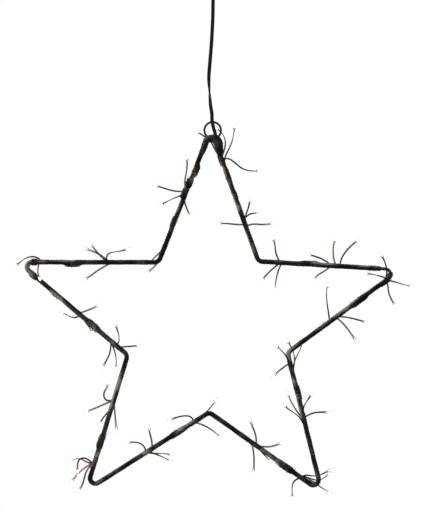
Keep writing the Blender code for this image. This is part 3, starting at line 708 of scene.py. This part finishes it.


# The last argument scales the painted light on the faces toward the upper left, together with the random blotches.
def lapped_tape(name, start, end, swell_at, outline_at, pitch=lap_pitch, seed=0.0, side_light_and_blotches=1.0):
    """A sleeve of lapped tape over outline_at(way). swell_at(way) gives (added radius, lean outward) there."""
    ways = np.linspace(start, end, max(6, round((end - start) / ring_spacing)) + 1)
    rings, wear_and_light_at, stain_at, run_at = [], [], [], []
    for way in ways:
        swell, lean = swell_at(way)
        lean += lower_lean(way)
        lighter, brown = lighter_and_stain_at(way)
        point, outward = place(way)
        wall = extra_wall * min(1.0, min(way - start, end - way) / end_taper)
        ring = []
        for angle, (out, behind) in zip(directions, outline_at(way)):
            cos, sin = math.cos(angle), math.sin(angle)
            lap = (way / pitch + angle / (2 * math.pi) + seed) % 1
            step = lap / lap_flat if lap < lap_flat else (1 - lap) / (1 - lap_flat)
            rough = noise.noise(Vector((way * 420, cos * 1.3, sin * 1.3 + seed)))
            slow = noise.noise(Vector((way * 95, cos * 0.5 + 7, sin * 0.5 + seed)))
            wide = noise.noise(Vector((way * 38, cos * 0.8 + 3, sin * 0.8)))
            proud = (wall + swell * (0.92 + 0.3 * rough) + lap_rise * (step - 0.45)
                     + 0.00011 * rough + 0.00026 * slow)
            ring.append(tuple(point + outward * (out + proud * cos + lean) + back * (behind + proud * sin)))
            facing = (outward * cos + back * sin).dot(painted_light_side)
            lap_edge = 1.3 * max(0.0, step - 0.72)
            # Paler colour over the swellings, more where they stand out further.
            lighter_on_lumps = 0.25 * swell / full_swell * max(0.0, 0.3 + rough)
            # Painted light: faces turned toward the lit side above and to the left get a paler colour, in patches.
            painted_side_light = 1.25 * max(0.0, facing - 0.18) * max(0.0, 0.65 + 1.5 * wide + 0.9 * slow + 0.5 * rough)
            blotched = max(0.0, 0.9 * wide + 0.06)
            wear_and_light_at.append(lap_edge + lighter_on_lumps + side_light_and_blotches * (painted_side_light + blotched) + lighter * (0.8 + slow))
            stain_at.append(min(1.0, brown * max(0.0, 0.9 + 1.2 * slow)))
            run_at.append((way, angle * rod_radius * 1.3 + way * 0.6))
        rings.append(ring)
    inner = [ring_at(way, bore_outline) for way in (end, *ways[::4][-2::-1])]
    made = skinned(name, [(rings + inner, True)], tape, sharp=70)
    spare = len(made.data.vertices) - len(wear_and_light_at)
    for layer_name, values in (("wear_and_painted_light", wear_and_light_at), ("stain", stain_at)):
        layer = made.data.attributes.new(layer_name, "FLOAT", "POINT")
        layer.data.foreach_set("value", np.array(values + [0.0] * spare, np.float32))
    spots = np.array(run_at + [(0.0, 0.0)] * spare) * weave_scale
    corners = np.empty(len(made.data.loops), np.int32)
    made.data.loops.foreach_get("vertex_index", corners)
    made.data.uv_layers.new(name="tape_run").data.foreach_set("uv", spots[corners].astype(np.float32).ravel())
    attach(made, "star")
    return made


def lumps_on(start, end):
    """(way, half length, added radius, lean outward) of the swellings that lie wholly on one stretch."""
    found = []
    for side, share, half, growth, shift in tape_lumps:
        way, reach = (side + share) * side_length, half * splice_length
        if start + reach < way < end - reach:
            found.append((way, reach, growth * rod_radius, shift * rod_radius))
    return found


def swelling(lumps):
    """(added radius, lean outward) as a function of the way. A lump climbs over the outer 0.6 of its half."""
    def at(way):
        swell = lean = 0.0
        for middle, half, growth, shift in lumps:
            share = min(1.0, max(0.0, 1 - abs(way - middle) / half) / 0.6)
            share = share * share * (3 - 2 * share)
            swell += growth * share
            lean += shift * share
        return swell, lean
    return at


tape_outline = hull_outline(tape_outer)


# Light clusters: at each splice two to four pairs of thin lacquered wire are soldered to the feed wires, spread out
# like twigs and end in a clear resin drop round a lit warm white diode. Short tape closes the splice.
FRONT, REAR = 1, -1
# Each splice's side of the star, its place there and its twigs. A twig has the place of its root on the splice, its
# headings from root to tip in degrees, the share of its length that shows from the front, and its lean.
led_clusters = (
    (0, None, ((-0.75, (72, 75, 94, 122, 140), 1.13, REAR), (0.4, (86, 64, 66, 80, 84), 1.28, FRONT),
                (-0.1, (14, -38, -40, -12, 3), 1.37, FRONT), (-0.33, (124, 120, 118, 146, 146), 1.32, REAR * 1.5))),
    (0, 0.717, ((-0.65, (70, 72, 82), 0.69, FRONT), (-0.5, (64, 40, 10, 14), 0.64, REAR),
                (0.75, (24, 4, -5, 4, 6), 0.95, FRONT), (0.35, (180, 176, 180), 0.9, FRONT))),
    (1, 0.108, ((-0.18, (124, 110, 94, 112), 0.87, FRONT), (-0.2, (212, 224, 228), 0.86, FRONT),
                (0.15, (246, 258, 266), 0.92, REAR))),
    (1, 0.598, ((-0.95, (138, 150, 162, 162), 0.83, REAR), (0.0, (112, 100, 90, 76), 0.93, FRONT),
                (0.9, (88, 60, 48, 40), 1.1, FRONT), (-0.95, (220, 208, 224), 0.77, FRONT))),
    (2, 0.0, ((-0.75, (76, 92, 106, 118), 0.87, REAR * 1.5), (-0.6, (160, 168, 173), 0.8, FRONT),
                (-0.7, (-8, -14, -17, -6), 0.91, REAR), (-0.3, (-66, -88, -66, -60), 0.93, FRONT))),
    (2, 0.561, ((0.8, (99, 101, 96, 86), 1.23, FRONT), (-0.95, (-2, -8, -14, -15), 0.97, FRONT),
                (-0.4, (-32, -48, -54, -57), 1.06, FRONT))),
    (3, 0.03, ((-0.8, (112, 130, 140), 0.77, FRONT), (0.8, (76, 86, 100, 116, 122), 1.12, FRONT),
                (0.95, (82, 80, 62, 62, 90), 1.11, REAR), (-0.35, (220, 222, 232), 0.72, REAR))),
    (3, 0.506, ((-0.3, (130, 126, 120, 110), 0.95, REAR), (0.85, (116, 128, 144, 148, 140), 0.99, FRONT),
                (-0.95, (92, 84, 62, 61, 61), 0.81, FRONT), (-0.15, (38, 24, 6, 0), 0.9, FRONT))),
    (4, 0.038, ((0.2, (24, -8, 8, 32, 26), 1.07, FRONT), (0.0, (-10, -20, -14, 30, 34), 1.04, REAR),
                (0.5, (192, 216, 256, 270, 276), 0.81, FRONT), (-0.7, (-14, -26, -40, -34, -30), 1.0, REAR * 1.5))),
    (4, 0.57, ((0.05, (88, 104, 114, 108), 0.94, FRONT), (-0.95, (2, 4, 22, 28), 0.8, FRONT),
                (0.55, (-74, -82, -90, -94), 1.0, FRONT), (-0.6, (-54, -50, -46), 0.75, REAR))),
    (5, 0.064, ((-0.95, (32, 44, 50, 50), 0.87, REAR), (0.0, (-8, -22, -32, -42), 1.02, FRONT),
                (0.1, (112, 176, 193, 200), 0.93, FRONT))),
    (5, 0.54, ((0.3, (96, 134, 170, 180), 0.81, FRONT), (-0.95, (86, 104, 112, 96), 0.67, REAR),
                (0.1, (-8, 4, 2, -4), 0.87, FRONT), (-0.1, (-22, -24, -26, -30), 0.84, REAR))),
    (6, 0.07, ((0.1, (136, 146, 190, 262, 272), 0.98, FRONT), (0.0, (180, 166, 152, 184, 206), 0.84, REAR),
                (0.1, (208, 214, 226, 234), 1.0, FRONT), (-0.1, (220, 238, 256, 254, 240), 1.12, REAR))),
    (6, 0.639, ((0.3, (203, 204, 202), 0.97, FRONT), (0.5, (206, 176, 120, 86, 52, 78), 0.9, REAR),
                (-0.1, (-84, -83, -82), 0.95, FRONT), (-0.95, (238, 232, 232, 246), 0.76, REAR))),
    (7, 0.05, ((-0.1, (52, 84, 102, 108, 102), 0.83, FRONT), (-0.8, (3, 3), 0.65, REAR),
                (0.85, (270, 262, 242, 246), 0.92, FRONT), (0.75, (-66, -72, -84, -96), 0.95, REAR))),
    (7, 0.462, ((0.2, (16, 22, 30), 0.78, FRONT), (0.0, (224, 180, 160, 156), 0.71, REAR),
                (-0.75, (-50, -51), 0.66, FRONT))),
    (8, 0.052, ((-0.58, (128, 168, 198, 218, 224), 1.01, FRONT), (-0.8, (262, 276, 304), 0.57, FRONT))),
    (8, 0.632, ((0.0, (143, 146, 158, 160), 0.96, FRONT), (-0.4, (142, 134, 130), 0.85, REAR),
                (-0.2, (108, 62, 14, 8, 12, 16), 1.0, FRONT), (0.3, (207, 212, 218, 214), 1.05, FRONT))),
    (9, 0.03, ((0.95, (244, 232, 220, 240), 0.93, REAR), (0.6, (256, 242, 232, 218), 1.15, REAR))),
    (9, last_splice, ((0.85, (108, 86, 78, 86, 94), 1.1, FRONT), (0.35, (190, 172, 163, 162), 1.08, REAR),
                (-0.35, (200, 206, 211), 0.9, FRONT), (-0.95, (-86, -68, -66), 0.68, FRONT))),
)
twig_length, twig_steps = 0.034, 22
root_cover = 0.0004
drop_length, drop_radius = 0.0075, 0.0017
twig_wire = 0.00049
pair_apart, fork_start = 0.00049, 0.55
least_lean = math.radians(16)
splice_closing = 0.0003
half_splice = splice_length / 2 + splice_closing
splice_pitch = 0.0026
splice_wall = 0.00012

# Each twig's lacquer, in the table's order: d dark, m maroon, w dark with a painted orange-brown glow toward the
# tip, o orange-brown all along, p pale pink about its middle from painted glow. A lacquer has its colour at the
# root, halfway and at the tip, and all are lighter at the tip than at the root: painted light of the lit drop on its
# wires.
twig_lacquers_and_glow = (
    "mmdd", "ddwd", "wdw", "dpdw", "ddmm", "ddd", "dmmd", "mddd", "dddd", "dmdd", "owd", "wdmm", "wwpm", "mmmd",
    "pdwm", "wdd", "mp", "dmmd", "oo", "pmdw",
)
lacquer_and_glow_tints = {
    "d": ((0.014, 0.008, 0.008), (0.012, 0.008, 0.008), (0.032, 0.018, 0.017)),
    "m": ((0.040, 0.007, 0.010), (0.085, 0.014, 0.019), (0.140, 0.034, 0.036)),
    "w": ((0.045, 0.013, 0.011), (0.110, 0.034, 0.022), (0.380, 0.140, 0.070)),
    "o": ((0.120, 0.032, 0.020), (0.330, 0.100, 0.055), (0.300, 0.130, 0.070)),
    "p": ((0.130, 0.040, 0.034), (0.480, 0.270, 0.230), (0.150, 0.054, 0.040)),
}

# The wires' ends inside the drop are tinned. The places along a wire are the lacquer's three and the tin's two.
tinned_tip = (0.72, 0.70, 0.67)
tint_places = (0, 0.5, 0.92, 0.955, 1)

resin, nodes, links, shader = surface("clear_resin")
# Painted shade: the drop's colour darkens toward its outline as seen from the camera, to draw its rim.
rim_shade = nodes.new("ShaderNodeLayerWeight")
rim_shade.inputs["Blend"].default_value = 0.75
links.new(ramp(nodes, links, rim_shade.outputs["Facing"], (
    (0.45, (1.0, 0.99, 0.97)), (0.78, (0.60, 0.60, 0.58)), (1.0, (0.22, 0.22, 0.21)))),
          shader.inputs["Base Color"])
shader.inputs["Transmission Weight"].default_value = 1.0
shader.inputs["IOR"].default_value = 1.46
shader.inputs["Emission Color"].default_value = (1.0, 0.86, 0.62, 1)
shader.inputs["Emission Strength"].default_value = 0.06
frost = nodes.new("ShaderNodeMapRange")
frost.inputs["To Min"].default_value, frost.inputs["To Max"].default_value = 0.02, 0.16
links.new(speckle(nodes, links, 1800, 2), frost.inputs["Value"])
links.new(frost.outputs[0], shader.inputs["Roughness"])

diode, nodes, links, shader = surface("lit_diode")
shader.inputs["Roughness"].default_value = 0.4
phosphor = ramp(nodes, links, speckle(nodes, links, 2200, 1), ((0.4, (1.0, 0.93, 0.78)), (0.65, (1.0, 0.97, 0.88))))
links.new(phosphor, shader.inputs["Base Color"])
links.new(phosphor, shader.inputs["Emission Color"])
shader.inputs["Emission Strength"].default_value = 3.5


def twig_path(way, root, headings, seen, lean):
    """The pair's middle line from inside the splice to the foot of its drop, and the drop's direction."""
    flat = min(seen, math.cos(least_lean * abs(lean)))
    length = twig_length * seen / flat
    depth = -math.copysign(math.sqrt(1 - flat * flat), lean)
    spot, outward = place(way + root * splice_length / 2)

    def direction(share):
        angle = math.radians(np.interp(share, np.linspace(0, 1, len(headings)), headings))
        return Vector((math.cos(angle) * flat, depth, math.sin(angle) * flat))

    first = direction(0)
    angle = math.atan2(first.dot(back), first.dot(outward))
    points = [spot + (outward * math.cos(angle) + back * math.sin(angle)) * hull_reach(root_cover, angle)]
    for k in range(twig_steps):
        points.append(points[-1] + direction((k + 0.5) / twig_steps) * (length - drop_length) / twig_steps)
    return points, direction(1)


def pair_rings(points, strand, turns, phase, fork=0.0):
    """One wire of a twisted pair. fork is how much further apart the two are where they enter the drop."""
    side, last = Vector((0, 1, 0)), len(points) - 1
    middle = []
    for k, point in enumerate(points):
        ahead = (points[min(k + 1, last)] - points[max(k - 1, 0)]).normalized()
        side = (side - ahead * side.dot(ahead)).normalized()
        over = ahead.cross(side)
        share = k / last
        apart = pair_apart + fork * max(0.0, (share - fork_start) / (1 - fork_start)) ** 1.6
        around = phase + strand * math.pi + 2 * math.pi * turns * share
        middle.append(point + (side * math.cos(around) + over * math.sin(around)) * apart)
    return rings_along(middle, lambda k: round_section(twig_wire, 6), (0, 1, 0))


drop_shape = ((0.0, 0.80), (0.02, 0.98), (0.07, 1.0), (0.12, 0.98), (0.14, 0.93), (0.45, 0.93), (0.66, 0.92),
              (0.78, 0.86), (0.88, 0.70), (0.95, 0.46), (0.985, 0.24))
chip_shape = ((0.30, 0.8), (0.33, 1), (0.47, 1), (0.50, 0.8))
chip_outline = ((0.0006, 0.0004), (-0.0006, 0.0004), (-0.0006, -0.0004), (0.0006, -0.0004))
splice_outline = hull_outline(tape_outer + splice_wall)
# The wall added to the thick splices at the top and the right point, and their lean outward
thick_splices = {1: (0.0006, -0.0007), 5: (0.0004, 0.0006), 20: (0.0009, 0.0011)}


def make_cluster(number, way, twigs):
    """One splice in its tape, with its twigs and their drops."""
    wires, colours, drops = [], [], []
    for k, twig in enumerate(twigs):
        points, tip = twig_path(way, *twig)
        dice = np.random.default_rng(100 * number + k)
        turns, phase, fork = dice.uniform(-0.4, 0.4), dice.uniform(1.1, 2.0), dice.uniform(0.0001, 0.00062)
        foot, drop_reach = points[-1], tip * drop_length
        ending = [foot + drop_reach * share for share in (0.12, 0.25)]
        for strand in (0, 1):
            rings = pair_rings(points + ending, strand, turns, phase, fork)
            wires.append((rings, False))
            share = np.repeat(np.linspace(0, 1, len(rings)), 6)
            # These colours lighten toward the drop: painted light of the diode on the wires.
            tints = np.array(lacquer_and_glow_tints[twig_lacquers_and_glow[number - 1][k]]) * dice.uniform(0.75, 1.25)
            tints = np.vstack((tints, [tinned_tip, tinned_tip]))
            colours.append(np.transpose([np.interp(share, tint_places, hue) for hue in tints.T]))
        drops.append((tapered(foot, drop_reach, drop_shape, round_section(drop_radius, 16), (0, 1, 0)), False))
        drops.append((tapered(foot, drop_reach, chip_shape, chip_outline, (0, 1, 0)), False, 1))
    name = f"{number:02d}"
    pair = skinned(f"twig_wires_{name}", wires, lacquer)
    tint(pair, np.vstack(colours))
    drop = skinned(f"light_drops_{name}", drops, (resin, diode))
    added, shift = thick_splices.get(number, (0.0, 0.0))
    splice = lapped_tape(f"splice_tape_{name}", way - half_splice, way + half_splice,
                         swelling([(way, half_splice * 1.6, added, shift)]), lambda way: splice_outline,
                         pitch=splice_pitch, seed=number * 0.37)
    for made in (pair, drop):
        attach(made, "star")
    for made in (pair, drop, splice):
        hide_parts(f"light_cluster_{name}")


cluster_ways = [cluster_way(side, share) for side, share, _ in led_clusters]
for number, (way, (_, _, twigs)) in enumerate(zip(cluster_ways, led_clusters), 1):
    make_cluster(number, way, twigs)


# Tape lengths: the same tape fills the stretches from splice to splice. At the right point it stops on one side and
# begins again in the bend, with the rod bare between them.
bare_start = 1.865 * side_length
stretches = [(before + half_splice, after - half_splice)
             for before, after in zip(cluster_ways, cluster_ways[1:])]
stretches.append((2 * side_length, stretches[3][1]))
stretches[3] = (stretches[3][0], bare_start)
for number, (start, end) in enumerate(stretches, 1):
    wrap = lapped_tape(f"lapped_tape_{number:02d}", start, end, swelling(lumps_on(start, end)),
                       lambda way: tape_outline, seed=number * 0.61)
    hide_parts(f"tape_wrap_{number:02d}")


# Stray threads: cotton threads that have come out of the tape's cut edges, as thin curls that stand off the thick
# places.
thread_radius, thread_root = 0.00013, 0.0003
threads_a_lump = 7
stray_runs = []
for number, (side, share, half, growth, shift) in enumerate(tape_lumps):
    dice = np.random.default_rng(500 + number)
    for k in range(threads_a_lump):
        way = (side + share + dice.uniform(-0.9, 0.9) * half * splice_length / side_length) * side_length
        spot, outward = place(way)
        angle = dice.uniform(0, 2 * math.pi)
        away = outward * math.cos(angle) + back * math.sin(angle)
        onward = (place(way + 0.001)[0] - spot).normalized()
        reach = hull_reach(tape_outer + (growth * rod_radius) * 0.8, angle)
        spot = spot + away * reach + outward * shift * rod_radius * 0.9
        rise, run_along = dice.uniform(0.0008, 0.0022), dice.uniform(-0.004, 0.004)
        curl = dice.uniform(-0.0012, 0.0012)
        across = away.cross(onward)
        curve = [spot + away * (rise * math.sin(2.6 * step) - thread_root) + onward * run_along * step
                 + across * curl * step * step for step in np.linspace(0, 1, 10)]
        stray_runs.append((rings_along(curve, lambda k: round_section(thread_radius, 5), across), False))
stray = skinned("stray_tape_threads", stray_runs, tape)
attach(stray, "star")


# Top point: the lead's flat end comes down in front of the ring's foot and lies along the right arm to its own
# splice in a shrunk sleeve. Many turns of the same tape close over rod, ring and lead.
binding_wall = 0.0011
# The taped end's course, as shares of its whole way to the side, forward and down
tail_spots = ((0.0, 0.0, 0.0), (0.05, 0.02, 0.13), (0.27, 0.33, 0.34), (0.48, 0.75, 0.51), (0.63, 0.94, 0.69),
              (0.78, 1.0, 0.84), (1.0, 1.0, 1.0))
tail_out, tail_forward = 0.0012, 0.0036
tail_spacing = 0.001
tail_foot, tail_outward = on_side(tail_way)
tail_whole = tail_foot + tail_outward * tail_out - back * tail_forward - lead_exit
tail_points = smooth_route(
    [lead_exit + Vector((tail_whole.x * a, tail_whole.y * b, tail_whole.z * c)) for a, b, c in tail_spots],
    tail_spacing,
)
tail = skinned("bound_lead_end", [(rings_along(tail_points, lambda k: lead_outline, (1, 0, 0)), False)], sheath)
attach(tail, "star")
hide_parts("lead_tail")

shrunk, nodes, links, shader = surface("shrunk_sleeve")
shader.inputs["Roughness"].default_value = 0.55
shader.inputs["Specular IOR Level"].default_value = 0.3
ripple = speckle(nodes, links, 1100, 2)
links.new(ramp(nodes, links, ripple, ((0.3, (0.008, 0.008, 0.008)), (0.8, (0.02, 0.02, 0.019)))),
          shader.inputs["Base Color"])
bump(nodes, links, ripple, shader, 0.00006, 0.6)
joint_gap, sleeve_radius = 0.0003, 0.0015
sleeve_start = tail_points[-1] + along(0) * joint_gap
sleeve_shape = ((0.0, 0.72), (0.05, 0.82), (0.15, 0.97), (0.3, 1.0), (0.5, 0.97), (0.7, 1.0), (0.86, 0.96),
                (0.95, 0.7), (1.0, 0.55))
sleeve_rings = tapered(
    sleeve_start, along(0) * sleeve_length, sleeve_shape, round_section(sleeve_radius, 20), (0, 1, 0))
joint_sleeve = skinned("shrunk_joint_sleeve", [(sleeve_rings, False)], shrunk)
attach(joint_sleeve, "star")
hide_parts("lead_splice")

top_way = 10 * side_length
top_reach = bend_reach(0)
binding_start, binding_end = cluster_ways[-1] + half_splice, top_way + cluster_ways[0] - half_splice
binding_bore = 0.0003

# How far past the corner, in reaches of its bend, and how far the tape stands outward, inward, to the front and to
# the rear there, in binding walls over its bore
binding_shape = (
    (-2.4, (0.4, 0.4, 1.45, 0.4)), (-1.9, (0.5, 0.5, 1.4, 0.5)), (-1.45, (0.75, 0.75, 1.5, 0.8)),
    (-1.0, (1.2, 1.2, 2.8, 2.9)), (0.0, (1.5, 3.6, 3.2, 2.9)), (0.5, (3.2, 2.6, 4.2, 2.9)),
    (1.0, (4.5, 1.1, 4.2, 2.9)), (1.3, (4.6, 0.7, 4.4, 0.8)), (1.6, (3.3, 0.8, 4.5, 0.7)),
    (1.9, (2.0, 1.0, 4.6, 0.64)),
)


def binding_outline(way):
    """The outline of the top point's tape, an oval that stands out by its own measure on each of its four sides."""
    past = (way - top_way) / top_reach
    stations = [station for station, _ in binding_shape]
    outer, inner, front, rear = (
        rod_radius + binding_bore + binding_wall * (np.interp(past, stations, walls) - 0.12)
        for walls in zip(*(shape for _, shape in binding_shape)))
    return [((outer - inner) / 2 + (outer + inner) / 2 * math.cos(angle),
             (rear - front) / 2 + (rear + front) / 2 * math.sin(angle)) for angle in directions]


binding = lapped_tape("top_point_tape", binding_start, binding_end,
                      swelling(lumps_on(binding_start, binding_end)), binding_outline, seed=0.2, side_light_and_blotches=0.45)
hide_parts("apex_binding")


# Winding: spare wire of the string, wound in open turns over the tape at the left point, beside its splice.
winding_turns, winding_pitch, winding_steps = 4, 0.0016, 40
winding_margin, winding_height = 0.00085, 0.0007
winding_start = cluster_ways[16] - splice_length / 2 - winding_margin - winding_pitch * winding_turns
winding_points = []
for k in range(winding_turns * winding_steps + 1):
    angle = 2 * math.pi * k / winding_steps
    spot, outward = place(winding_start + winding_pitch * k / winding_steps)
    reach = hull_reach(tape_outer + winding_height, angle)
    winding_points.append(spot + outward * reach * math.cos(angle) + back * reach * math.sin(angle))
winding = skinned(
    "wound_wire",
    [(pair_rings(winding_points, strand, winding_turns * 2.5, 0.0), False) for strand in (0, 1)],
    lacquer,
)
tint(winding, (0.055, 0.012, 0.014))
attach(winding, "star")
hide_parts("wire_winding")
